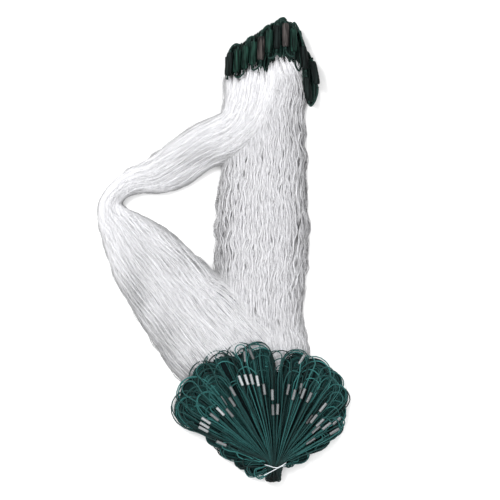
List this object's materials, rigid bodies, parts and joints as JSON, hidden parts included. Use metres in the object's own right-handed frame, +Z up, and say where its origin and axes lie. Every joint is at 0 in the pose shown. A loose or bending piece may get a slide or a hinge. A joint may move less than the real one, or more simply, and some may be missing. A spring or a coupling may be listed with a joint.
{
  "type": "bundled gill net",
  "caption": "Gill net made up for carriage: floats and head rope at one end, two falls of white netting, and a weighted lead line folded into a tied fan.",
  "frame": {"origin": "bottom centre of the whole bundle's bounding box, on the surface it lies on", "axes": "+Z up, +Y along the net from the tied lead line towards the float end, +X across the net, away from the side fall's elbow"},
  "size_m": [0.4533, 0.8365, 0.0409],
  "materials": {
    "netting": "white nylon monofilament, satin",
    "head_rope": "dark green braided polyethylene",
    "lead_line": "dark teal green twisted polyethylene",
    "float": "dark green closed-cell foam",
    "sinker": "dull lead sleeve, crimped",
    "tie_string": "white braided nylon string"
  },
  "bodies": {
    "net": {"netting_straight_fall": "netting", "netting_side_fall_upper": "netting", "netting_side_fall_lower": "netting", "head_rope": "head_rope", "head_rope_hank": "head_rope", "lead_line_hank_right": "lead_line", "lead_line_hank_centre_right": "lead_line", "lead_line_hank_centre_left": "lead_line", "lead_line_hank_left": "lead_line", "lead_line_neck": "lead_line", "lead_line_loop_01": "lead_line", "lead_line_loop_02": "lead_line", "lead_line_loop_03": "lead_line", "lead_line_loop_04": "lead_line", "lead_line_loop_05": "lead_line", "lead_line_loop_06": "lead_line", "lead_line_loop_07": "lead_line", "lead_line_loop_08": "lead_line", "lead_line_loop_09": "lead_line", "lead_line_loop_10": "lead_line", "lead_line_loop_11": "lead_line", "lead_line_loop_12": "lead_line", "sinker_01": "sinker", "sinker_02": "sinker", "sinker_03": "sinker", "sinker_04": "sinker", "sinker_05": "sinker", "sinker_06": "sinker", "sinker_07": "sinker", "sinker_08": "sinker", "sinker_09": "sinker", "sinker_10": "sinker", "sinker_11": "sinker", "sinker_12": "sinker", "sinker_13": "sinker", "sinker_14": "sinker", "sinker_15": "sinker", "sinker_16": "sinker", "sinker_17": "sinker", "sinker_18": "sinker", "sinker_19": "sinker", "sinker_20": "sinker", "sinker_21": "sinker", "sinker_22": "sinker", "sinker_23": "sinker", "sinker_24": "sinker", "tie_string": "tie_string", "tie_string_end": "tie_string"},
    "float_01": {"float_01": "float"},
    "float_02": {"float_02": "float"},
    "float_03": {"float_03": "float"},
    "float_04": {"float_04": "float"},
    "float_05": {"float_05": "float"},
    "float_06": {"float_06": "float"},
    "float_07": {"float_07": "float"},
    "float_08": {"float_08": "float"},
    "float_09": {"float_09": "float"},
    "float_10": {"float_10": "float"},
    "float_11": {"float_11": "float"},
    "float_12": {"float_12": "float"}
  },
  "joints": [
    {"name": "float_01_slide", "type": "slide", "parent": "net", "child": "float_01", "axis": [0.1219, 0.9925, 0], "range_m": [-0.004, 0.004]},
    {"name": "float_02_slide", "type": "slide", "parent": "net", "child": "float_02", "axis": [0.1045, 0.9945, 0], "range_m": [-0.004, 0.004]},
    {"name": "float_03_slide", "type": "slide", "parent": "net", "child": "float_03", "axis": [0.0872, 0.9962, 0], "range_m": [-0.004, 0.004]},
    {"name": "float_04_slide", "type": "slide", "parent": "net", "child": "float_04", "axis": [0.0698, 0.9976, 0], "range_m": [-0.004, 0.004]},
    {"name": "float_05_slide", "type": "slide", "parent": "net", "child": "float_05", "axis": [0.0523, 0.9986, 0], "range_m": [-0.004, 0.004]},
    {"name": "float_06_slide", "type": "slide", "parent": "net", "child": "float_06", "axis": [0.0523, 0.9986, 0], "range_m": [-0.004, 0.004]},
    {"name": "float_07_slide", "type": "slide", "parent": "net", "child": "float_07", "axis": [0.0349, 0.9994, 0], "range_m": [-0.004, 0.004]},
    {"name": "float_08_slide", "type": "slide", "parent": "net", "child": "float_08", "axis": [0, 1, 0], "range_m": [-0.004, 0.004]},
    {"name": "float_09_slide", "type": "slide", "parent": "net", "child": "float_09", "axis": [-0.0349, 0.9994, 0], "range_m": [-0.004, 0.004]},
    {"name": "float_10_slide", "type": "slide", "parent": "net", "child": "float_10", "axis": [-0.1219, 0.9925, 0], "range_m": [-0.004, 0.004]},
    {"name": "float_11_slide", "type": "slide", "parent": "net", "child": "float_11", "axis": [-0.1045, 0.9945, 0], "range_m": [-0.004, 0.004]},
    {"name": "float_12_slide", "type": "slide", "parent": "net", "child": "float_12", "axis": [-0.1908, 0.9816, 0], "range_m": [-0.004, 0.004]}
  ]
}
